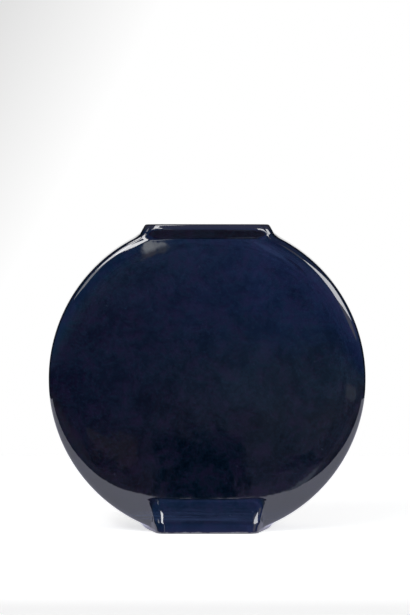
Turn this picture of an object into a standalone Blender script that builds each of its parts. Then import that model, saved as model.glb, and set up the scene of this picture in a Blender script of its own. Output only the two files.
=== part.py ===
# Moon-flask vase of glazed earthenware: two dished shells joined at a seam round the middle of a
# thick disc, with a coved neck collar on top, a coved foot ring below and a floor slab in the foot.
# Metres, +Z up, the origin under the middle of the foot. The front looks along -Y.

import math

import bpy

# Disc
disc_radius = 0.150            # at the seam, the widest line
seam_draft = 0.0020            # the side wall draws in this much from the seam to the face's edge
side_depth = 0.0259            # from the seam to where the face's edge starts to turn
edge_depth = 0.0071            # depth of the rounded edge of a face
face_dome = 0.0020             # rise of a face from its edge to its middle
wall = 0.0055                  # fired clay and glaze
inner_edge_depth = 0.005       # depth of the rounded inner edge
lute_gap = 0.0003              # the slip between two joined pieces
coil_radius = 0.003

# Neck
neck_sink = 0.0053             # the lip lies this far below the top of the full circle
neck_height = 0.0129           # from the crease with the face to the lip
neck_joint_drop = 0.0040       # from that crease down to the joint with the shells
neck_flare = 0.0030            # how far the top of the cove stands in front of the crease
neck_lip_height = 0.0052       # band of the lip above the cove
neck_lip_lean = 0.0021         # how far that band leans back up to the lip
neck_band_edge = 0.0006        # softening of the line between cove and band
neck_ridge = 0.0590            # half width at the seam line, at the lip
neck_ridge_spread = 0.0076     # added to it from the lip down to the crease
neck_front = 0.0565            # half width of the front, at the lip
neck_front_spread = 0.0066
neck_corner = 0.0240           # softening of the upright corners
neck_wall = 0.0060
neck_side_fillet = 0.0060
neck_front_fillet = 0.0006
lip_radius = 0.0016

# Foot
foot_sink = 0.0077             # the table plane lies this far above the bottom of the full circle
foot_height = 0.0300           # from the table to the crease with the face
foot_joint_rise = 0.0040       # from that crease up to the joint with the shells
foot_flare = 0.0085            # how far the bottom of the cove stands in front of the crease
foot_band = 0.0090             # height of the band under the cove
foot_band_spread = 0.0020      # how far the band spreads down to the table
foot_ridge = 0.0593            # half width at the seam line, on the table
foot_ridge_spread = 0.0240     # added to it from the table up to the crease
foot_front = 0.0446            # half width of the front, on the table
foot_front_spread = 0.0070     # added to it at the crease
foot_corner = 0.0080           # softening of the upright corners
foot_rim_width = 0.0070        # width of the rim that stands on the table
foot_side_fillet = 0.0075
foot_front_fillet = 0.0004
foot_edge_radius = 0.0012
inside_fillet = 0.0020
ridge_round = 0.0060           # softening of the seam line on neck and foot

# Floor
floor_height = 0.0050          # underside of the floor above the table
floor_thickness = 0.0060
floor_shoulder = 0.0038        # overlap of the foot's shoulder over the floor
throat_spread = 0.0500         # how far the hollow widens from the floor to the joint

# Shape powers, shares and steps
edge_power = 23.6
flare_power = 1.2
front_power = 2.2              # how quickly the foot's front widens towards the crease
fillet_power = 8               # how soon a side fillet thins out towards the front
ridge_depth_share = 0.25       # share of the side's depth that belongs to the ridge alone
face_shares = (0, 0.3, 0.55, 0.75, 0.86, 0.91, 0.94, 0.96, 0.975, 0.986, 0.994, 0.9985, 1)
inner_face_shares = (1, 0.99, 0.97, 0.94, 0.88, 0.7, 0.4, 0)
cove_shares = (0, 0.3, 0.5, 0.68, 0.82, 0.94, 1)
lip_turn_shares = (0, 1 / 3, 2 / 3)             # of a quarter turn round the lip's outer edge
inner_lip_turn_shares = (0.5, 0)
foot_edge_turn_shares = (0.2, 0.55, 1)
crease_turn_share = 0.45       # of a quarter turn: shading stays smooth where faces meet at less
coil_end_share = 3             # a coil stops this many of its radii short of a joint
merge_distance = 0.00002
cut_overrun = 0.020
turn_steps = 80
loft_steps = 88
coil_points = 36
search_steps = 44
front_steps = 6

# Places worked out from the sizes
centre_height = disc_radius - foot_sink
rim_height = centre_height + disc_radius - neck_sink
neck_crease = rim_height - neck_height
neck_joint = neck_crease - neck_joint_drop
foot_joint = foot_height + foot_joint_rise
floor_top = floor_height + floor_thickness
face_radius = disc_radius - seam_draft
quarter_turn = math.pi / 2

# Outer and inner disc: radius at the seam, radius of the face, depth of the side, edge and dome
outer_disc = (disc_radius, face_radius, side_depth, edge_depth, face_dome)
inner_side_depth = side_depth + edge_depth - wall - inner_edge_depth
inner_disc = (disc_radius - wall, face_radius - wall, inner_side_depth, inner_edge_depth, face_dome)


def new_collection(name, hidden):
    collection = bpy.data.collections.new(name)
    bpy.context.scene.collection.children.link(collection)
    collection.hide_render = hidden
    return collection


def new_material(name, colour, roughness, coat):
    material = bpy.data.materials.new(name)
    material.use_nodes = True
    shader = material.node_tree.nodes["Principled BSDF"]
    shader.inputs["Base Color"].default_value = (*colour, 1)
    shader.inputs["Roughness"].default_value = roughness
    shader.inputs["Metallic"].default_value = 0
    shader.inputs["Coat Weight"].default_value = coat
    material.diffuse_color = (*colour, 1)
    return material


def smooth_max(a, b, width):
    near = max(width - abs(a - b), 0) / width
    return max(a, b) + near * near * width / 4


def smooth_min(a, b, width):
    return -smooth_max(-a, -b, width)


def half_depth(disc, radius):
    """Half the disc's thickness at this distance from its axis."""
    seam_radius, face, side, edge, dome = disc
    if radius >= seam_radius:
        return 0
    if radius > face:
        return side * (seam_radius - radius) / (seam_radius - face)
    share = radius / face
    return side + dome * (1 - share * share) + edge * math.sqrt(1 - share**edge_power)


def disc_reach(disc, across, along, height):
    """How far the disc reaches from the upright axis, at this height, in the direction (across, along)."""
    level = height - centre_height
    if abs(level) >= disc[0]:
        return 0
    inside, outside = 0, disc[0]
    for _ in range(search_steps):
        middle = (inside + outside) / 2
        radius = math.hypot(middle * across, level)
        if radius < disc[0] and middle * abs(along) <= half_depth(disc, radius):
            inside = middle
        else:
            outside = middle
    return inside


def six_sided_reach(plan, across, along):
    """How far a plan reaches: front and back follow the disc's face, and the sides slant to a ridge."""
    ridge, front, out, level, corner = plan
    along = abs(along)
    across = abs(across)
    slant = (ridge - front) / (half_depth(outer_disc, abs(level)) + out)
    soft = ridge_round / ridge
    rounded = math.hypot(along, soft * across) - soft * across
    side = ridge / (across + slant * rounded)
    if along * side < side_depth * ridge_depth_share:
        return side
    face = side
    for _ in range(front_steps):
        face = (half_depth(outer_disc, math.hypot(min(face, side) * across, level)) + out) / along
    return smooth_min(side, face, corner)


def neck_plan(height):
    """Ridge, front half width, how far the front stands out from the disc, level of the crease, corner."""
    fall = (rim_height - height) / neck_height
    cove_height = neck_height - neck_lip_height
    rise = (height - neck_crease) / cove_height
    ridge = neck_ridge + neck_ridge_spread * fall
    front = neck_front + neck_front_spread * fall
    cove = neck_flare * (max(rise, 0) ** flare_power + min(rise, 0))
    band = neck_flare - neck_lip_lean * (rise - 1) * cove_height / neck_lip_height
    return ridge, front, smooth_min(cove, band, neck_band_edge), neck_crease - centre_height, neck_corner


def foot_plan(height):
    """The same five values for the foot."""
    rise = height / foot_height
    drop = (foot_height - height) / (foot_height - foot_band)
    ridge = foot_ridge + foot_ridge_spread * rise
    front = foot_front + foot_front_spread * min(max(1 - drop, 0), 1) ** front_power
    cove = foot_flare * (max(min(drop, 1), 0) ** flare_power + min(drop, 0))
    spread = foot_band_spread * max(foot_band - height, 0) / foot_band
    return ridge, front, cove + spread, foot_height - centre_height, foot_corner


def smaller(plan, inset):
    ridge, front, out, level, corner = plan
    return ridge - inset, front - inset, out - inset, level, corner


def fillet_at(front_fillet, side_fillet, across):
    """Foot and neck run into the disc softly at their sides and sharply in front."""
    return front_fillet + (side_fillet - front_fillet) * abs(across) ** fillet_power


def rounded_off(radius, into):
    """How much a rounded edge draws in, this far into the rounding."""
    return radius - math.sqrt(max(radius**2 - into**2, 0))


def neck_outside(across, along, height):
    fillet = fillet_at(neck_front_fillet, neck_side_fillet, across)
    disc = disc_reach(outer_disc, across, along, height)
    reach = smooth_max(disc, six_sided_reach(neck_plan(height), across, along), fillet)
    into_lip = max(height - (rim_height - lip_radius), 0)
    return reach - rounded_off(lip_radius, into_lip)


def neck_inside(across, along, height):
    disc = disc_reach(inner_disc, across, along, height)
    plan = smaller(neck_plan(height), neck_wall)
    reach = smooth_max(disc, six_sided_reach(plan, across, along), inside_fillet)
    into_lip = max(height - (rim_height - lip_radius), 0)
    return reach + rounded_off(lip_radius, into_lip)


def foot_outside(across, along, height):
    fillet = fillet_at(foot_front_fillet, foot_side_fillet, across)
    disc = disc_reach(outer_disc, across, along, height)
    reach = smooth_max(disc, six_sided_reach(foot_plan(height), across, along), fillet)
    into_edge = max(foot_edge_radius - height, 0)
    return reach - rounded_off(foot_edge_radius, into_edge)


def rebate(across, along, height):
    return six_sided_reach(smaller(foot_plan(0), foot_rim_width), across, along)


def foot_inside(across, along, height):
    rise = (height - floor_top) / (foot_joint - floor_top)
    ridge, front, out, level, corner = smaller(foot_plan(0), foot_rim_width + floor_shoulder)
    throat = (ridge + throat_spread * rise, front + throat_spread * rise, out, level, corner)
    disc = disc_reach(inner_disc, across, along, height)
    return smooth_min(disc, six_sided_reach(throat, across, along), inside_fillet)


def ring(reach, height):
    """One closed loop of points round the upright axis."""
    points = []
    for step in range(loft_steps):
        angle = math.tau * step / loft_steps
        across, along = math.cos(angle), math.sin(angle)
        distance = reach(across, along, height)
        points.append((distance * across, distance * along, height))
    return points


def lofted(name, rings):
    """A closed wall: rings joined one to the next, and the last to the first."""
    points = [point for loop in rings for point in loop]
    faces = []
    for row in range(len(rings)):
        above = (row + 1) % len(rings)
        for step in range(loft_steps):
            beside = (step + 1) % loft_steps
            faces.append((
                row * loft_steps + step,
                row * loft_steps + beside,
                above * loft_steps + beside,
                above * loft_steps + step,
            ))
    mesh = bpy.data.meshes.new(name)
    mesh.from_pydata(points, [], faces)
    mesh.shade_smooth()
    mesh.set_sharp_from_angle(angle=quarter_turn * crease_turn_share)
    return add_piece(name, mesh, glaze)


def add_piece(name, shape, material):
    """A mesh or a curve as one piece of the vase."""
    piece = bpy.data.objects.new(name, shape)
    shape.materials.append(material)
    vase.objects.link(piece)
    return piece


def box_cutter(name, low, high):
    """A box from its lowest to its highest height, wider and deeper than the vase."""
    bpy.ops.mesh.primitive_cube_add(size=1, location=(0, 0, (low + high) / 2))
    box = bpy.context.active_object
    box.name = name
    box.scale = (2 * (disc_radius + cut_overrun), 2 * (side_depth + foot_flare + cut_overrun), high - low)
    for collection in list(box.users_collection):
        collection.objects.unlink(box)
    cutters.objects.link(box)
    box.hide_render = True
    box.display_type = "WIRE"
    return box


def shell_section():
    """Half section of a shell: over the face from its middle, down the side, back along the inside."""
    section = []
    for share in face_shares:
        section.append((share * face_radius, half_depth(outer_disc, share * face_radius)))
    seam_side = lute_gap / 2
    section.append((disc_radius, seam_side))
    section.append((disc_radius - wall, seam_side))
    inner_radius = face_radius - wall
    for share in inner_face_shares:
        section.append((share * inner_radius, half_depth(inner_disc, share * inner_radius)))
    return section


def make_shell(name, turn):
    """A dished half of the disc, turned about its axis and trimmed flat for the neck and the foot."""
    section = shell_section()
    mesh = bpy.data.meshes.new(name)
    points = [(radius, 0, depth) for radius, depth in section]
    mesh.from_pydata(points, [(i, i + 1) for i in range(len(points) - 1)], [])
    shell = add_piece(name, mesh, glaze)
    shell.location = (0, 0, centre_height)
    shell.rotation_euler = (turn, 0, 0)
    screw = shell.modifiers.new("turned", "SCREW")
    screw.axis = "Z"
    screw.angle = math.tau
    screw.steps = turn_steps
    screw.render_steps = turn_steps
    screw.use_merge_vertices = True
    screw.merge_threshold = merge_distance
    screw.use_smooth_shade = True
    for cutter in (top_trim, bottom_trim):
        trim = shell.modifiers.new(cutter.name, "BOOLEAN")
        trim.operation = "DIFFERENCE"
        trim.solver = "EXACT"
        trim.object = cutter
    return shell


def make_neck():
    """Shoulders, cove and rounded lip, with the mouth through them."""
    cove = neck_height - neck_lip_height
    heights = [neck_joint + lute_gap / 2]
    heights += [neck_crease + cove * share for share in cove_shares]
    lip_foot = rim_height - lip_radius
    heights += [lip_foot + lip_radius * math.sin(quarter_turn * share) for share in lip_turn_shares]
    rings = [ring(neck_outside, height) for height in heights]
    inner_heights = [rim_height]
    for share in inner_lip_turn_shares:
        inner_heights.append(lip_foot + lip_radius * math.sin(quarter_turn * share))
    inner_heights += [neck_crease + cove, neck_crease + cove / 2, neck_crease, neck_joint + lute_gap / 2]
    rings += [ring(neck_inside, height) for height in inner_heights]
    return lofted("neck_collar", rings)


def make_foot():
    """Lower end of the disc with the coved foot, its standing rim and the rebate for the floor."""
    cove = foot_height - foot_band
    joint = foot_joint - lute_gap / 2
    heights = [foot_edge_radius * (1 - math.cos(quarter_turn * share)) for share in foot_edge_turn_shares]
    heights += [foot_band - foot_edge_radius]
    heights += [foot_height - cove * share for share in reversed(cove_shares)]
    heights += [joint]
    rings = [ring(foot_outside, 0)] + [ring(foot_outside, height) for height in heights]
    shoulder = floor_top + lute_gap
    for height in (joint, foot_height, (foot_height + shoulder) / 2, shoulder):
        rings.append(ring(foot_inside, height))
    rings.append(ring(rebate, shoulder))
    rings.append(ring(rebate, 0))
    return lofted("foot_ring", rings)


def make_floor():
    """The slab that closes the foot, let into its rebate with a slip gap all round."""
    rim = [(x, y) for x, y, _ in ring(rebate, 0)]
    inset = 1 - lute_gap / (foot_front - foot_rim_width)
    curve = bpy.data.curves.new("base_slab", "CURVE")
    curve.dimensions = "2D"
    curve.fill_mode = "BOTH"
    curve.extrude = floor_thickness / 2
    outline = curve.splines.new("POLY")
    outline.points.add(len(rim) - 1)
    for point, (x, y) in zip(outline.points, rim):
        point.co = (x * inset, y * inset, 0, 1)
    outline.use_cyclic_u = True
    slab = add_piece("base_slab", curve, clay)
    slab.location = (0, 0, floor_height + floor_thickness / 2)
    return slab


def make_coil(name, side):
    """A coil of clay along the inside of the seam, from above the foot to below the neck."""
    facets = math.cos(math.pi / turn_steps)
    radius = (disc_radius - wall) * facets - lute_gap - coil_radius
    spare = coil_end_share * coil_radius
    top = math.asin((neck_joint - centre_height - spare) / radius)
    bottom = math.asin((foot_joint - centre_height + spare) / radius)
    curve = bpy.data.curves.new(name, "CURVE")
    curve.dimensions = "3D"
    curve.bevel_depth = coil_radius
    curve.bevel_resolution = 2
    curve.use_fill_caps = True
    path = curve.splines.new("POLY")
    path.points.add(coil_points - 1)
    for step, point in enumerate(path.points):
        angle = bottom + (top - bottom) * step / (coil_points - 1)
        point.co = (side * radius * math.cos(angle), 0, centre_height + radius * math.sin(angle), 1)
    return add_piece(name, curve, clay)


for old in list(bpy.data.objects):
    bpy.data.objects.remove(old)

vase = new_collection("moon_flask_vase", False)
cutters = new_collection("cutters", True)
glaze = new_material("navy_glaze", (0.0045, 0.0085, 0.025), 0.08, 0.6)
clay = new_material("fired_clay", (0.46, 0.33, 0.24), 0.85, 0)

top_trim = box_cutter("top_trim", neck_joint - lute_gap / 2, rim_height + neck_sink + cut_overrun)
bottom_trim = box_cutter("bottom_trim", -foot_sink - cut_overrun, foot_joint + lute_gap / 2)

make_shell("front_shell", quarter_turn)
make_shell("back_shell", -quarter_turn)
make_neck()
make_foot()
make_floor()
make_coil("seam_coil_left", -1)
make_coil("seam_coil_right", 1)
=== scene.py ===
import math

import bmesh
import bpy
import numpy as np
from mathutils import Matrix


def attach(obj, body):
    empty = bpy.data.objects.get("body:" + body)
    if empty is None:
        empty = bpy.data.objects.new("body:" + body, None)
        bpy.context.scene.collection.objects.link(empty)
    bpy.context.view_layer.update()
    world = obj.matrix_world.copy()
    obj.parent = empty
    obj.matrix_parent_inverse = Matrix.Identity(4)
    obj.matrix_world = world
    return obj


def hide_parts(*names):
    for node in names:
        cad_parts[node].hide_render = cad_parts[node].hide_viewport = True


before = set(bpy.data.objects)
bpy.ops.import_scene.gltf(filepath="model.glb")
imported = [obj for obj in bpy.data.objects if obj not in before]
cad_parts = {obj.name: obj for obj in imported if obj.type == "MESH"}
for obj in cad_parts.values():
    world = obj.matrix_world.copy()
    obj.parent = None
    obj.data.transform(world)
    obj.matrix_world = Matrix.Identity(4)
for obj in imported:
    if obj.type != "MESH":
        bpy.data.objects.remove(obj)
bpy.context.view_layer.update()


def deselectAll():
    bpy.ops.object.select_all(action="DESELECT")


# Camera, in the photograph's place
cameraPlace = {
    "distance": 1.800,      # metres from the middle of the vase
    "height": 0.254,
    "sideways": -0.0020,
    "lens": 111.35,         # mm
    "tiltDown": 1.44,       # degrees
    "seesAsFarAs": 50,      # metres
}
bpy.ops.object.camera_add(
    location=(cameraPlace["sideways"], -cameraPlace["distance"], cameraPlace["height"]),
    rotation=(math.radians(90 - cameraPlace["tiltDown"]), 0, 0),
)
camera = bpy.context.active_object
camera.name = "photoCamera"
camera.data.lens = cameraPlace["lens"]
camera.data.clip_end = cameraPlace["seesAsFarAs"]
bpy.context.scene.camera = camera
print("camera placed")


# Sizes of the glazed body, in metres
disc = {
    "radius": 0.150,        # at the seam, the widest line
    "middle": 0.1423,       # height of its axis over the table
    "draft": 0.0020,        # the side draws in this much from the seam to the edge
    "side": 0.0259,         # from the seam to where the edge starts to turn
    "edge": 0.0071,         # depth of the rounded edge of the face
    "edgePower": 23.6,      # more makes that edge tighter
    "dome": 0.0020,         # rise of the face from its edge to its middle
    "wall": 0.0055,
    "innerEdge": 0.005,     # depth of the rounded edge inside
}
neck = {
    "rim": 0.287,           # height of the lip over the table
    "height": 0.0129,       # from the crease with the face to the lip
    "from": 0.262,          # the neck's plan plays no part below this
    "flare": 0.0030,        # the cove swings forward this much from the crease to the band
    "flarePower": 1.2,
    "band": 0.0052,         # height of the lip's band
    "lean": 0.0021,         # the band leans back this much up to the lip
    "bandEdge": 0.0018,     # softening of the line between cove and band
    "cornerOut": 0.0028,    # at its corners it stands this far out, with no cove
    "cornerFall": 0.0060,   # and runs out into the disc over this height
    "cornerPower": 9,       # more keeps this nearer to the corners
    "ridge": (0.0590, 0.0076),      # half width at the seam, at the lip, and what the crease adds
    "front": (0.0565, 0.0066),      # and in front
    "corner": 0.0240,       # softening of the upright corners
    "wall": 0.0060,
    "sideFillet": 0.0060,
    "frontFillet": 0.0006,
    "lip": 0.0016,          # radius of the rounded lip
}
foot = {
    "height": 0.0300,       # from the table to the crease with the face
    "upTo": 0.044,          # the foot's plan plays no part above this
    "joint": 0.0340,        # height at which it joins the shells
    "flare": 0.0085,        # the cove swings forward this much from the crease to the band
    "flarePower": 1.2,
    "band": 0.0090,         # height of the band under the cove
    "spread": 0.0020,       # the band spreads this much down to the table
    "ridge": (0.0593, 0.0240),      # half width at the seam, on the table, and what the crease adds
    "front": (0.0446, 0.0070),      # and in front
    "frontPower": 2.2,      # the front widens quickly towards the crease
    "cornerDrop": 0.0035,   # the crease turns down by this at the corners
    "cornerPower": 10,
    "corner": 0.0080,
    "rimWidth": 0.0070,     # of the rim that stands on the table
    "sideFillet": 0.0075,
    "frontFillet": 0.0004,
    "edge": 0.0012,         # radius of the rim's outer edge
    "floorTop": 0.0113,     # underside of the shoulder over the floor slab
    "shoulder": 0.0038,     # its overlap over the slab
    "throat": 0.0500,       # the inside widens this much from the slab up to the joint
    "innerFillet": 0.0020,
}
blend = {
    "ridge": 0.0060,        # softening of the line at the seam on neck and foot
    "sidePower": 8,         # more keeps the soft fillets nearer to the sides
}
rings = {
    "quarterFaces": 84,
    "samples": 900,         # fine points that a quarter ring is thinned from
    "turnShare": 0.50,      # how far the points gather where the plan turns
    "turnReach": 0.02,      # and over which share of the quarter
    "halvings": 40,         # to find how far the disc reaches
    "rounds": 6,            # to settle the front's depth, which changes towards its corners
    "lipTurns": (15, 30, 45, 60, 75),       # degrees
    "footTurns": (0, 30, 60),
    # heights from which rings are spaced, each with the step that holds from there on
    "up": [
        (0.0012, 0.0012), (0.009, 0.0011), (0.028, 0.0006), (0.0335, 0.0012), (0.046, 0.0022),
        (0.070, 0.0030), (0.215, 0.0024), (0.245, 0.0018), (0.266, 0.0010), (0.2715, 0.0005),
        (0.276, 0.0006),
    ],
    "lipStep": 0.0014,      # below the lip, inside
    "down": [(0.266, 0.003), (0.235, 0.009), (0.050, 0.005)],
    "creaseAngle": 50,      # degrees, from which an edge is shaded as a crease
}


def smoothMax(a, b, width):
    near = np.maximum(width - np.abs(a - b), 0) / width
    return np.maximum(a, b) + near * near * width / 4


def smoothMin(a, b, width):
    return -smoothMax(-a, -b, width)


def roundedOff(radius, into):
    return radius - math.sqrt(max(radius**2 - max(into, 0) ** 2, 0))


def insideDisc(radius, depth, inner):
    # radius is measured from the disc's axis, and depth from the plane of its seam
    wall = disc["wall"] if inner else 0
    edge = disc["innerEdge"] if inner else disc["edge"]
    side = disc["side"] + disc["edge"] - wall - edge if inner else disc["side"]
    lean = disc["radius"] - wall - disc["draft"] * depth / disc["side"]
    share = np.clip(radius / lean, 0, 1)
    face = side + disc["dome"] * (1 - share**2) + edge * np.sqrt(1 - share ** disc["edgePower"])
    return (radius < lean) & (depth < face)


def discReach(across, along, height, inner=False):
    # how far the disc reaches from the upright axis in each direction
    level = height - disc["middle"]
    low = np.zeros(len(across))
    high = low + disc["radius"]
    for _ in range(rings["halvings"]):
        middle = (low + high) / 2
        inside = insideDisc(np.hypot(middle * across, level), middle * along, inner)
        low = np.where(inside, middle, low)
        high = np.where(inside, high, middle)
    return low


def faceDepth(across, level):
    share = np.minimum(np.hypot(across, level) / (disc["radius"] - disc["draft"]), 1)
    edge = disc["edge"] * np.sqrt(1 - share ** disc["edgePower"])
    return disc["side"] + disc["dome"] * (1 - share**2) + edge


def sixSidedReach(plan, across, along):
    # a front and back that stand out from the disc's face, and sides that slant out to a ridge at the seam
    ridge, front, out, atCorner, power, level, corner = plan
    slant = (ridge - front) / (faceDepth(0, level) + out)
    soft = blend["ridge"] / ridge
    rounded = np.hypot(along, soft * across) - soft * across
    side = ridge / (across + slant * rounded)
    face = side
    for _ in range(rings["rounds"]):
        aside = np.minimum(face, side) * across
        depth = faceDepth(aside, level) + out + (atCorner - out) * np.minimum(aside / front, 1) ** power
        face = depth / np.maximum(along, depth)
    # near the seam the front plays no part, so there it is set a metre away
    return smoothMin(side, np.where(along * side < disc["side"] / 4, 1, face), corner)


def filletAt(shape, across):
    # the foot and neck run into the disc's rim softly at their sides and sharply in front
    return shape["frontFillet"] + (shape["sideFillet"] - shape["frontFillet"]) * across ** blend["sidePower"]


def neckPlan(height):
    crease = neck["rim"] - neck["height"]
    fall = (neck["rim"] - height) / neck["height"]
    rise = (height - crease) / (neck["height"] - neck["band"])
    ridge = neck["ridge"][0] + neck["ridge"][1] * fall
    front = neck["front"][0] + neck["front"][1] * fall
    cove = neck["flare"] * (max(rise, 0) ** neck["flarePower"] + min(rise, 0))
    band = neck["flare"] - neck["lean"] * (rise - 1) * (neck["height"] - neck["band"]) / neck["band"]
    out = smoothMin(cove, band, neck["bandEdge"])
    share = min(max((height - crease) / neck["cornerFall"] + 1, 0), 1)
    more = smoothMin(neck["cornerOut"], band, neck["bandEdge"]) - out
    atCorner = out + more * share * share * (3 - 2 * share)
    return ridge, front, out, atCorner, neck["cornerPower"], crease - disc["middle"], neck["corner"]


def footOut(height):
    # how far the foot's front stands out from the disc's face
    drop = (foot["height"] - height) / (foot["height"] - foot["band"])
    cove = foot["flare"] * (max(min(drop, 1), 0) ** foot["flarePower"] + min(drop, 0))
    return cove + foot["spread"] * max(foot["band"] - height, 0) / foot["band"]


def footPlan(height):
    rise = height / foot["height"]
    ridge = foot["ridge"][0] + foot["ridge"][1] * rise
    widening = min(max((height - foot["band"]) / (foot["height"] - foot["band"]), 0), 1) ** foot["frontPower"]
    front = foot["front"][0] + foot["front"][1] * widening
    atCorner = min(footOut(height), footOut(height + foot["cornerDrop"]) + foot["spread"])
    level = foot["height"] - disc["middle"]
    return ridge, front, footOut(height), atCorner, foot["cornerPower"], level, foot["corner"]


def smaller(plan, inset):
    ridge, front, out, atCorner, *rest = plan
    return ridge - inset, front - inset, out - inset, atCorner - inset, *rest


def outsideReach(across, along, height):
    reach = discReach(across, along, height)
    if height > neck["from"]:
        reach = smoothMax(reach, sixSidedReach(neckPlan(height), across, along), filletAt(neck, across))
        return reach - roundedOff(neck["lip"], height - neck["rim"] + neck["lip"])
    if height > foot["upTo"]:
        return reach
    reach = smoothMax(reach, sixSidedReach(footPlan(height), across, along), filletAt(foot, across))
    return reach - roundedOff(foot["edge"], foot["edge"] - height)


def insideReach(across, along, height):
    reach = discReach(across, along, height, inner=True)
    if height > neck["from"]:
        plan = smaller(neckPlan(height), neck["wall"])
        reach = smoothMax(reach, sixSidedReach(plan, across, along), neck["sideFillet"])
        return reach + roundedOff(neck["lip"], height - neck["rim"] + neck["lip"])
    if height > foot["upTo"]:
        return reach
    spread = foot["throat"] * (height - foot["floorTop"]) / (foot["joint"] - foot["floorTop"])
    ridge, front, *rest = smaller(footPlan(0), foot["rimWidth"] + foot["shoulder"])
    throat = (ridge + spread, front + spread, *rest)
    return smoothMin(reach, sixSidedReach(throat, across, along), foot["innerFillet"])


def rebateReach(across, along, height):
    return sixSidedReach(smaller(footPlan(0), foot["rimWidth"]), across, along)


def planRing(reachOf, height):
    # the plan at this height as a closed ring, from +X round to the front and on
    angle = np.linspace(0, math.pi / 2, rings["samples"])
    reach = reachOf(np.cos(angle), np.sin(angle), height)
    x, y = reach * np.cos(angle), -reach * np.sin(angle)
    length = np.hypot(np.diff(x), np.diff(y))
    heading = np.unwrap(np.arctan2(np.diff(y), np.diff(x)))
    bend = np.abs(np.diff(heading, prepend=heading[0]))
    place = np.cumsum(length) / length.sum()
    near = np.exp(-(((place[:, None] - place) / rings["turnReach"]) ** 2))
    turn = (near / near.sum(axis=0)) @ bend * length
    weight = (1 - rings["turnShare"]) * length / length.sum() + rings["turnShare"] * turn / turn.sum()
    counted = np.concatenate([[0], np.cumsum(weight)])
    wanted = np.linspace(0, counted[-1], rings["quarterFaces"] + 1)
    x, y = np.interp(wanted, counted, x), np.interp(wanted, counted, y)
    half = list(zip(x, y)) + list(zip(-x[-2::-1], y[-2::-1]))
    back = [(a, -b) for a, b in half[-2:0:-1]]
    return [(a, b, height) for a, b in half + back]


def spaced(stops, end):
    # heights from each stop to the next, with the step given at the stop, and on to the end
    heights = []
    for (low, step), high in zip(stops, [stop[0] for stop in stops[1:]] + [end]):
        count = max(round(abs(high - low) / step), 1)
        heights += [low + (high - low) * i / count for i in range(count)]
    return heights + [end]


def drawBody():
    # from the edge of the foot up the outside, over the lip, down the inside and back to the foot
    lipStart = neck["rim"] - neck["lip"]
    overLip = [lipStart + neck["lip"] * math.sin(math.radians(turn)) for turn in rings["lipTurns"]]
    up = [foot["edge"] * (1 - math.cos(math.radians(turn))) for turn in rings["footTurns"]]
    up += spaced(rings["up"], lipStart) + overLip
    down = [neck["rim"]] + overLip[::-1]
    down += spaced([(lipStart, rings["lipStep"])] + rings["down"], foot["floorTop"])
    drawn = [planRing(outsideReach, height) for height in up]
    drawn += [planRing(insideReach, height) for height in down]
    return drawn + [planRing(rebateReach, height) for height in (foot["floorTop"], foot["floorTop"] / 2, 0)]


plans = drawBody()
print("plans drawn:", len(plans), "rings of", len(plans[0]))

# One ring of points on the table, extruded ring by ring, each pulled out to the plan at its height
deselectAll()
bpy.ops.mesh.primitive_circle_add(vertices=len(plans[0]), radius=disc["radius"])
vase = bpy.context.active_object
vase.name = vase.data.name = "glazed_body"
bpy.ops.object.mode_set(mode="EDIT")
mesh = bmesh.from_edit_mesh(vase.data)
ring = list(mesh.verts)
for step, plan in enumerate(plans):
    if step:
        bpy.ops.mesh.extrude_edges_move()
        ring = [next(e.other_vert(v) for e in v.link_edges if e.other_vert(v).select) for v in ring]
    for point, place in zip(ring, plan):
        point.co = place
for point in list(mesh.verts)[:len(ring)]:
    point.select = True
mesh.select_flush(True)
bpy.ops.mesh.bridge_edge_loops()
bpy.ops.mesh.select_all(action="SELECT")
bpy.ops.mesh.normals_make_consistent(inside=False)
bpy.ops.object.mode_set(mode="OBJECT")
bpy.ops.object.shade_smooth_by_angle(angle=math.radians(rings["creaseAngle"]))
print("body built:", len(vase.data.polygons), "faces")
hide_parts("front_shell", "back_shell", "neck_collar", "foot_ring")
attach(vase, "root")


# Helpers for node trees. A value may be a socket, which is linked, or a plain value, which is set.
def feed(tree, socket, value):
    if isinstance(value, bpy.types.NodeSocket):
        tree.links.new(value, socket)
    else:
        socket.default_value = value


def newNode(tree, kind, values=None, **settings):
    node = tree.nodes.new(kind)
    node.location = (220 * (len(tree.nodes) % 8), -320 * (len(tree.nodes) // 8))
    for name, value in settings.items():
        setattr(node, name, value)
    for name, value in (values or {}).items():
        feed(tree, node.inputs[name], value)
    return node


def maths(tree, operation, *terms):
    node = newNode(tree, "ShaderNodeMath", operation=operation)
    for socket, term in zip(node.inputs, terms):
        feed(tree, socket, term)
    return node.outputs[0]


def stepUp(tree, value, low, high):
    # 0 at low and smoothly to 1 at high, which may also be the smaller of the two
    sizes = {"Value": value, "From Min": low, "From Max": high}
    return newNode(tree, "ShaderNodeMapRange", sizes, interpolation_type="SMOOTHSTEP").outputs["Result"]


def product(tree, first, second):
    return maths(tree, "MULTIPLY", first, second)


def mixed(tree, share, first, second):
    # the colour sockets of a Mix node are its 7th and 8th, and its 3rd output
    node = newNode(tree, "ShaderNodeMix", data_type="RGBA")
    for place, value in ((0, share), (6, first), (7, second)):
        feed(tree, node.inputs[place], value)
    return node.outputs[2]


def partsOf(tree, vector):
    return newNode(tree, "ShaderNodeSeparateXYZ", {"Vector": vector}).outputs


def noise(tree, place, scale, detail=2, roughness=0.5):
    values = {"Vector": place, "Scale": scale, "Detail": detail, "Roughness": roughness}
    return newNode(tree, "ShaderNodeTexNoise", values).outputs["Fac"]


def bump(tree, height, strength, distance, below=None):
    values = {"Height": height, "Strength": strength, "Distance": distance}
    if below:
        values["Normal"] = below
    return newNode(tree, "ShaderNodeBump", values).outputs["Normal"]


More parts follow.
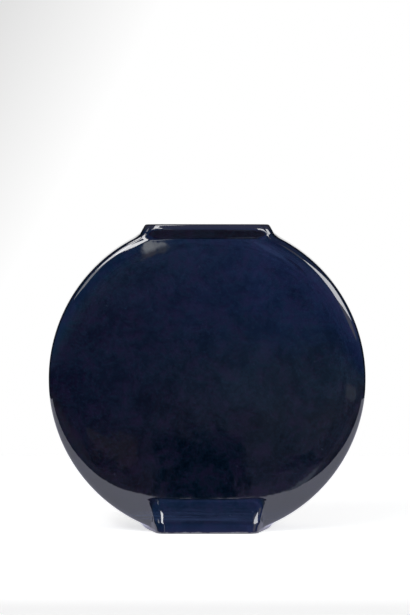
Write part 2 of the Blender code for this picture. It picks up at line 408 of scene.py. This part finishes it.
def newMaterial(name):
    material = bpy.data.materials.new(name)
    material.use_nodes = True
    tree = material.node_tree
    place = newNode(tree, "ShaderNodeTexCoord").outputs["Object"]
    return material, tree, tree.nodes["Principled BSDF"], place


# Navy glaze: mottled tones, pale pinholes, thinner and purplish low on the foot, bare clay at its edge.
# Heights are in metres over the table.
glazeLook = {
    "thinTeal": (0.0006, 0.0040, 0.0110, 1),
    "thinViolet": (0.0036, 0.0020, 0.0110, 1),
    "thickTeal": (0.0040, 0.0130, 0.0270, 1),
    "thickViolet": (0.0092, 0.0088, 0.0270, 1),
    "mottle": (38, 6, 1.0),                 # scale, detail and roughness of each noise
    "mottleRange": (0.40, 0.58),            # the part of the noise that runs from thin to thick
    "hue": (75, 4, 0.9),
    "hueRange": (0.42, 0.64),
    "speck": (0.0500, 0.0650, 0.1000, 1),
    "speckScale": 140,
    "speckRadius": (0.17, 0.05),            # in cells of the pattern: nothing is left at the first
    "speckless": (0.88, 0.90),              # the share of the cells without one
    "cove": (0.0160, 0.0275, 0.0600, 1),    # lighter blue along the throwing lines low in the foot's cove
    "coveRise": (0.0105, 0.0125),
    "coveFall": (0.0240, 0.0160),
    "streaks": (170, 4, 0.7),               # throwing lines along the foot
    "streakRange": (0.34, 0.62),
    "streakShape": (0.10, 0.10, 3.0),
    "lip": (0.0260, 0.0260, 0.0400, 1),     # lighter and redder over the top of the neck
    "lipRise": (0.2800, 0.2842),
    "purple": (0.0120, 0.0100, 0.0280, 1),
    "purpleFall": (0.0065, 0.0012),
    "bare": (0.170, 0.165, 0.180, 1),
    "bareFall": (0.0016, 0.0012),
    "bareRoughness": 0.5,                   # added to the glaze's
    "edgeWander": 0.006,                    # the glaze's lower edges go up and down with the mottle
    "roughness": 0.04,
    "ior": 1.75,
    "waves": [(14, 0.30, 0.0010), (60, 0.20, 0.0003)],      # scale, strength and depth
}


def makeGlaze():
    material, tree, shader, place = newMaterial("navyGlaze")
    height = partsOf(tree, place)["Z"]
    mottle = noise(tree, place, *glazeLook["mottle"])
    tone = stepUp(tree, mottle, *glazeLook["mottleRange"])
    hue = stepUp(tree, noise(tree, place, *glazeLook["hue"]), *glazeLook["hueRange"])
    teal = mixed(tree, tone, glazeLook["thinTeal"], glazeLook["thickTeal"])
    violet = mixed(tree, tone, glazeLook["thinViolet"], glazeLook["thickViolet"])
    colour = mixed(tree, hue, teal, violet)

    cells = newNode(tree, "ShaderNodeTexVoronoi", {"Vector": place, "Scale": glazeLook["speckScale"]}).outputs
    chance = partsOf(tree, cells["Color"])
    near = stepUp(tree, cells["Distance"], *glazeLook["speckRadius"])
    speck = product(tree, near, stepUp(tree, chance["X"], *glazeLook["speckless"]))
    colour = mixed(tree, product(tree, speck, chance["Y"]), colour, glazeLook["speck"])

    stretched = newNode(tree, "ShaderNodeVectorMath", operation="MULTIPLY")
    feed(tree, stretched.inputs[0], place)
    stretched.inputs[1].default_value = glazeLook["streakShape"]
    lines = noise(tree, stretched.outputs["Vector"], *glazeLook["streaks"])
    streak = stepUp(tree, lines, *glazeLook["streakRange"])
    inCove = product(
        tree, stepUp(tree, height, *glazeLook["coveFall"]), stepUp(tree, height, *glazeLook["coveRise"]),
    )
    colour = mixed(tree, product(tree, inCove, streak), colour, glazeLook["cove"])
    colour = mixed(tree, stepUp(tree, height, *glazeLook["lipRise"]), colour, glazeLook["lip"])

    wander = maths(tree, "SUBTRACT", mottle, 0.5)
    lowEdge = maths(tree, "MULTIPLY_ADD", wander, glazeLook["edgeWander"], height)
    colour = mixed(tree, stepUp(tree, lowEdge, *glazeLook["purpleFall"]), colour, glazeLook["purple"])
    bare = stepUp(tree, lowEdge, *glazeLook["bareFall"])
    feed(tree, shader.inputs["Base Color"], mixed(tree, bare, colour, glazeLook["bare"]))
    roughness = maths(tree, "MULTIPLY_ADD", bare, glazeLook["bareRoughness"], glazeLook["roughness"])
    feed(tree, shader.inputs["Roughness"], roughness)
    shader.inputs["IOR"].default_value = glazeLook["ior"]

    wave = None
    for scale, strength, depth in glazeLook["waves"]:
        wave = bump(tree, noise(tree, place, scale), strength, depth, wave)
    feed(tree, shader.inputs["Normal"], wave)
    return material


glaze = makeGlaze()
vase.data.materials.append(glaze)


# Bare clay of the floor slab and of the coils inside
clayLook = {
    "dark": (0.38, 0.26, 0.18, 1),
    "pale": (0.54, 0.40, 0.30, 1),
    "grain": (400, 6),          # scale and detail
    "grainRange": (0.3, 0.7),
    "roughness": 0.85,
    "relief": (0.4, 0.0003),    # strength and depth
}


def makeClay():
    material, tree, shader, place = newMaterial("firedClay")
    grain = noise(tree, place, *clayLook["grain"])
    tone = mixed(tree, stepUp(tree, grain, *clayLook["grainRange"]), clayLook["dark"], clayLook["pale"])
    feed(tree, shader.inputs["Base Color"], tone)
    shader.inputs["Roughness"].default_value = clayLook["roughness"]
    feed(tree, shader.inputs["Normal"], bump(tree, grain, *clayLook["relief"]))
    return material


clay = makeClay()
for name in ("base_slab", "seam_coil_left", "seam_coil_right"):
    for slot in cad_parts[name].material_slots:
        slot.material = clay
print("finishes made")


# White table, which rolls down in front
table = {
    "back": 0.66,
    "front": -0.225,
    "halfWidth": 0.80,
    "under": 0.0002,        # below the foot by this
    "roll": 0.03,           # radius of the roll
    "rollSteps": 6,
    "drop": 0.45,           # how far it hangs down from there
    "colour": (0.86, 0.86, 0.86, 1),
    "roughness": 0.7,
    "cameraGlow": 0.66,     # the camera sees it lighter by this, and by less where the roll ends
    "edgeGlow": 0.42,
    "mirrorGlow": (0.60, 0.60, 0.80, 1),    # and the glaze mirrors it lighter by this
}
deselectAll()
bpy.ops.mesh.primitive_plane_add(size=1, location=(0, 0, 0))
tableTop = bpy.context.active_object
tableTop.name = "table"
tableTop.scale = (2 * table["halfWidth"], table["back"] - table["front"], 1)
tableTop.location = (0, (table["back"] + table["front"]) / 2, -table["under"])
bpy.ops.object.transform_apply(location=True, scale=True)
bpy.ops.object.mode_set(mode="EDIT")
bpy.ops.mesh.select_all(action="DESELECT")
mesh = bmesh.from_edit_mesh(tableTop.data)
for point in mesh.verts:
    point.select = point.co.y < 0
mesh.select_flush(True)
for turn in range(table["rollSteps"]):
    before, after = (math.radians(90 * part / table["rollSteps"]) for part in (turn, turn + 1))
    forward = table["roll"] * (math.sin(after) - math.sin(before))
    down = table["roll"] * (math.cos(before) - math.cos(after))
    bpy.ops.mesh.extrude_edges_move(TRANSFORM_OT_translate={"value": (0, -forward, -down)})
bpy.ops.mesh.extrude_edges_move(TRANSFORM_OT_translate={"value": (0, 0, -table["drop"])})
bpy.ops.object.mode_set(mode="OBJECT")
bpy.ops.object.shade_smooth()
print("table set")


def grey(level):
    return level, level, level, 1


def makePaper():
    material, tree, shader, place = newMaterial("whitePaper")
    shader.inputs["Base Color"].default_value = table["colour"]
    shader.inputs["Roughness"].default_value = table["roughness"]
    shader.inputs["Emission Strength"].default_value = 1
    path = newNode(tree, "ShaderNodeLightPath").outputs
    fromRollEnd = maths(tree, "ABSOLUTE", maths(tree, "ADD", partsOf(tree, place)["Z"], table["roll"]))
    level = stepUp(tree, fromRollEnd, 0, table["roll"])
    seen = mixed(tree, level, grey(table["edgeGlow"]), grey(table["cameraGlow"]))
    unseen = mixed(tree, path["Is Glossy Ray"], grey(0), table["mirrorGlow"])
    feed(tree, shader.inputs["Emission Color"], mixed(tree, path["Is Camera Ray"], unseen, seen))
    return material


tableTop.data.materials.append(makePaper())


# Studio: a white wall behind the vase, a dim room before it that the glaze mirrors, and soft boxes.
# A direction from the vase is given by x, y and z of its unit vector, or as azimuth, to the right of straight
# ahead, and elevation in degrees.
studio = {
    "ambient": 0.25,
    # the room's colour to the left and to the right, by z
    "roomLeft": [
        (-0.250, (0.075, 0.060, 0.100)), (-0.230, (0.095, 0.075, 0.105)), (-0.210, (0.110, 0.080, 0.115)),
        (-0.160, (0.080, 0.042, 0.060)), (-0.130, (0.040, 0.022, 0.060)), (-0.080, (0.030, 0.020, 0.085)),
        (-0.050, (0.030, 0.033, 0.112)), (0.000, (0.058, 0.052, 0.155)), (0.050, (0.072, 0.120, 0.250)),
        (0.120, (0.058, 0.135, 0.325)), (0.220, (0.055, 0.122, 0.390)), (0.450, (0.045, 0.118, 0.340)),
        (0.700, (0.090, 0.120, 0.330)), (0.740, (0.100, 0.130, 0.340)),
    ],
    "roomRight": [
        (-0.250, (0.075, 0.060, 0.100)), (-0.230, (0.110, 0.095, 0.125)), (-0.180, (0.145, 0.125, 0.210)),
        (-0.160, (0.107, 0.094, 0.170)), (-0.130, (0.080, 0.080, 0.130)), (-0.105, (0.100, 0.105, 0.150)),
        (-0.080, (0.100, 0.130, 0.220)), (-0.050, (0.090, 0.135, 0.250)), (-0.030, (0.060, 0.107, 0.270)),
        (0.000, (0.054, 0.100, 0.350)), (0.050, (0.080, 0.120, 0.430)), (0.120, (0.107, 0.161, 0.520)),
        (0.200, (0.140, 0.210, 0.600)), (0.300, (0.140, 0.210, 0.600)), (0.450, (0.055, 0.105, 0.340)),
        (0.700, (0.090, 0.120, 0.330)), (0.740, (0.100, 0.130, 0.340)),
    ],
    "rampFrom": -0.25,                  # z at the start of the ramps, which span 1
    "leftToRight": (-0.13, 0.10),       # x between which one turns into the other
    "clouds": (55, 4, 0.6),             # noise that lightens and darkens it, and by how much
    "cloudDepth": 2.2,
    # dark stand below the camera
    "stand": (0.0, 0.0, 0.004, 1),
    "standAside": 0.0037,
    "standHalfWidth": (0.028, 0.042),
    "standTop": (-0.117, -0.100),
    "standFoot": (-0.24, -0.26),
    "legSoftness": 0.6,
    # azimuth, elevation, half width, half length and slant of each of its legs and cables
    "legs": [
        (-6.5, -7.2, 0.16, 1.70, 61),
        (-4.5, -8.2, 0.14, 0.60, 75),
        (-8.6, -8.9, 0.22, 1.90, -14),
        (-7.1, -9.4, 0.18, 2.40, -56),
        (4.7, -7.7, 0.14, 1.10, -62),
        (7.2, -8.9, 0.16, 2.70, 62),
    ],
    # what else stands in the room, with softness and colour added
    "patches": [
        (-3.9, 5.8, 0.75, 1.5, 25, 0.95, (0.34, 0.35, 0.43, 1)),        # soft spot under the neck, its tail
        (-8.3, 15.4, 0.87, 9.3, 26, 0.95, (1.75, 1.85, 2.00, 1)),       # and the spot
        (7.0, 10.5, 1.5, 3.0, 0, 0.8, (0.20, 0.32, 0.85, 1)),           # blue sheen
        (10.4, 9.3, 1.2, 1.9, -20, 0.8, (0.07, 0.08, 0.27, 1)),         # dark spot in it
        (-42.0, 60.5, 38.0, 4.5, 0, 0.3, (9.00, 9.00, 9.00, 1)),        # bright strip over the left boxes
        (46.0, 13.5, 12.0, 5.0, 0, 0.8, (0.60, 0.60, 0.75, 1)),         # spill under the right box
        (32.0, 34.0, 6.0, 5.0, 0, 0.8, (0.45, 0.45, 0.60, 1)),          # and beside it
        (19.0, -5.3, 8.5, 0.95, -6, 0.35, (0.26, 0.29, 0.38, 1)),       # pale things to the right
        (6.0, -12.4, 4.2, 1.7, 0, 0.8, (0.42, 0.46, 0.58, 1)),
        (-5.2, -7.2, 1.6, 0.9, 0, 0.6, (0.11, 0.08, 0.10, 1)),          # brown thing to the left
    ],
    "behind": (0.020, 0.022, 0.030, 1),
    "turnsBehind": (-0.3, 0.2),         # y between which the room turns into this
    "wallEdge": (0.975, 0.990),         # y between which that turns into the wall
    # the wall falls off a little towards the top left: by so much for x and z, from a start, to a limit
    "wallFall": (-3.0, 1.69, -0.292, 0.30),
    "wallFallEdge": (0.95, 0.975),
    "boxDistance": 2.0,
    # name, azimuth, elevation, width, height, slant, and power for each square metre
    "softBoxes": [
        ("softBoxLeft", -50, 45.5, 0.60, 0.54, 0, 24),
        ("softBoxLeftNear", -28, 37.5, 0.85, 0.23, -32, 28),
        ("softBoxLeftLow", -54, 31.5, 0.62, 0.44, 0, 6.5),
        ("softBoxRight", 54, 27, 1.10, 0.60, 0, 20),
    ],
}


def ramp(tree, value, stops):
    node = newNode(tree, "ShaderNodeValToRGB", {"Fac": maths(tree, "SUBTRACT", value, studio["rampFrom"])})
    marks = node.color_ramp.elements
    for level, colour in stops:
        marks.new(level - studio["rampFrom"]).color = (*colour, 1)
    marks.remove(marks[-1])
    marks.remove(marks[0])
    return node.outputs["Color"]


def cloudyRoom(tree, way, x, z):
    left, right = (ramp(tree, z, studio[name]) for name in ("roomLeft", "roomRight"))
    room = mixed(tree, stepUp(tree, x, *studio["leftToRight"]), left, right)
    cloud = maths(tree, "SUBTRACT", noise(tree, way, *studio["clouds"]), 0.5)
    uneven = newNode(tree, "ShaderNodeVectorMath", operation="SCALE")
    feed(tree, uneven.inputs[0], room)
    feed(tree, uneven.inputs["Scale"], maths(tree, "MULTIPLY_ADD", cloud, studio["cloudDepth"], 1))
    return uneven.outputs["Vector"]


def clearOfStand(tree, x, z):
    aside = maths(tree, "ABSOLUTE", maths(tree, "ADD", x, studio["standAside"]))
    beside = stepUp(tree, aside, *studio["standHalfWidth"])
    above = stepUp(tree, z, *studio["standTop"])
    below = stepUp(tree, z, *studio["standFoot"])
    return maths(tree, "MAXIMUM", maths(tree, "MAXIMUM", beside, above), below)


def withPatch(tree, mirrored, azimuth, elevation, patch):
    # a slanting oblong with rounded corners
    middleAzimuth, middleElevation, halfWidth, halfLength, slant, soft, colour = patch
    cosine, sine = math.cos(math.radians(slant)), math.sin(math.radians(slant))
    right = maths(tree, "SUBTRACT", azimuth, middleAzimuth)
    rise = maths(tree, "SUBTRACT", elevation, middleElevation)
    aside = maths(tree, "MULTIPLY_ADD", rise, sine, product(tree, right, cosine))
    onward = maths(tree, "MULTIPLY_ADD", right, -sine, product(tree, rise, cosine))
    across, along = (
        maths(tree, "POWER", maths(tree, "DIVIDE", far, half), 4)
        for far, half in ((aside, halfWidth), (onward, halfLength))
    )
    return mixed(tree, stepUp(tree, maths(tree, "ADD", across, along), 1 + soft, 1 - soft), mirrored, colour)


def wallBehind(tree, x, y, z):
    perX, perZ, start, most = studio["wallFall"]
    fall = maths(tree, "MULTIPLY_ADD", x, perX, maths(tree, "MULTIPLY_ADD", z, perZ, start))
    fall = maths(tree, "MINIMUM", maths(tree, "MAXIMUM", fall, 0), most)
    return maths(tree, "SUBTRACT", 1, product(tree, fall, stepUp(tree, y, *studio["wallFallEdge"])))


def makeWorld():
    world = bpy.data.worlds.new("studio")
    bpy.context.scene.world = world
    world.use_nodes = True
    tree = world.node_tree
    tree.nodes.clear()
    way = newNode(tree, "ShaderNodeTexCoord").outputs["Generated"]
    x, y, z = partsOf(tree, way)
    mirrored = mixed(tree, clearOfStand(tree, x, z), studio["stand"], cloudyRoom(tree, way, x, z))
    azimuth = maths(tree, "DEGREES", maths(tree, "ARCTAN2", x, product(tree, y, -1)))
    elevation = maths(tree, "DEGREES", maths(tree, "ARCSINE", z))
    legs = [(*leg, studio["legSoftness"], studio["stand"]) for leg in studio["legs"]]
    for patch in studio["patches"] + legs:
        mirrored = withPatch(tree, mirrored, azimuth, elevation, patch)
    mirrored = mixed(tree, stepUp(tree, y, *studio["turnsBehind"]), mirrored, studio["behind"])
    mirrored = mixed(tree, stepUp(tree, y, *studio["wallEdge"]), mirrored, grey(1))

    path = newNode(tree, "ShaderNodeLightPath").outputs
    lit = mixed(tree, path["Is Glossy Ray"], grey(studio["ambient"]), mirrored)
    clear = maths(tree, "MAXIMUM", path["Is Camera Ray"], path["Is Transmission Ray"])
    colour = mixed(tree, clear, lit, wallBehind(tree, x, y, z))
    background = newNode(tree, "ShaderNodeBackground", {"Color": colour})
    output = newNode(tree, "ShaderNodeOutputWorld")
    tree.links.new(background.outputs["Background"], output.inputs["Surface"])


makeWorld()


def addSoftBox(name, azimuth, elevation, width, height, slant, power):
    turn, lift = math.radians(azimuth), math.radians(elevation)
    away = studio["boxDistance"]
    deselectAll()
    bpy.ops.object.light_add(
        type="AREA",
        location=(
            away * math.sin(turn) * math.cos(lift),
            -away * math.cos(turn) * math.cos(lift),
            disc["middle"] + away * math.sin(lift),
        ),
        rotation=(math.radians(90 - elevation), 0, turn),
    )
    box = bpy.context.active_object
    slanted = box.rotation_euler.to_matrix() @ Matrix.Rotation(math.radians(slant), 3, "Z")
    box.rotation_euler = slanted.to_euler()
    box.name = name
    box.data.shape = "RECTANGLE"
    box.data.size = width
    box.data.size_y = height
    box.data.energy = power * width * height
    box.visible_camera = False


for softBox in studio["softBoxes"]:
    addSoftBox(*softBox)
bpy.context.scene.view_settings.view_transform = "Standard"
print("studio lit")
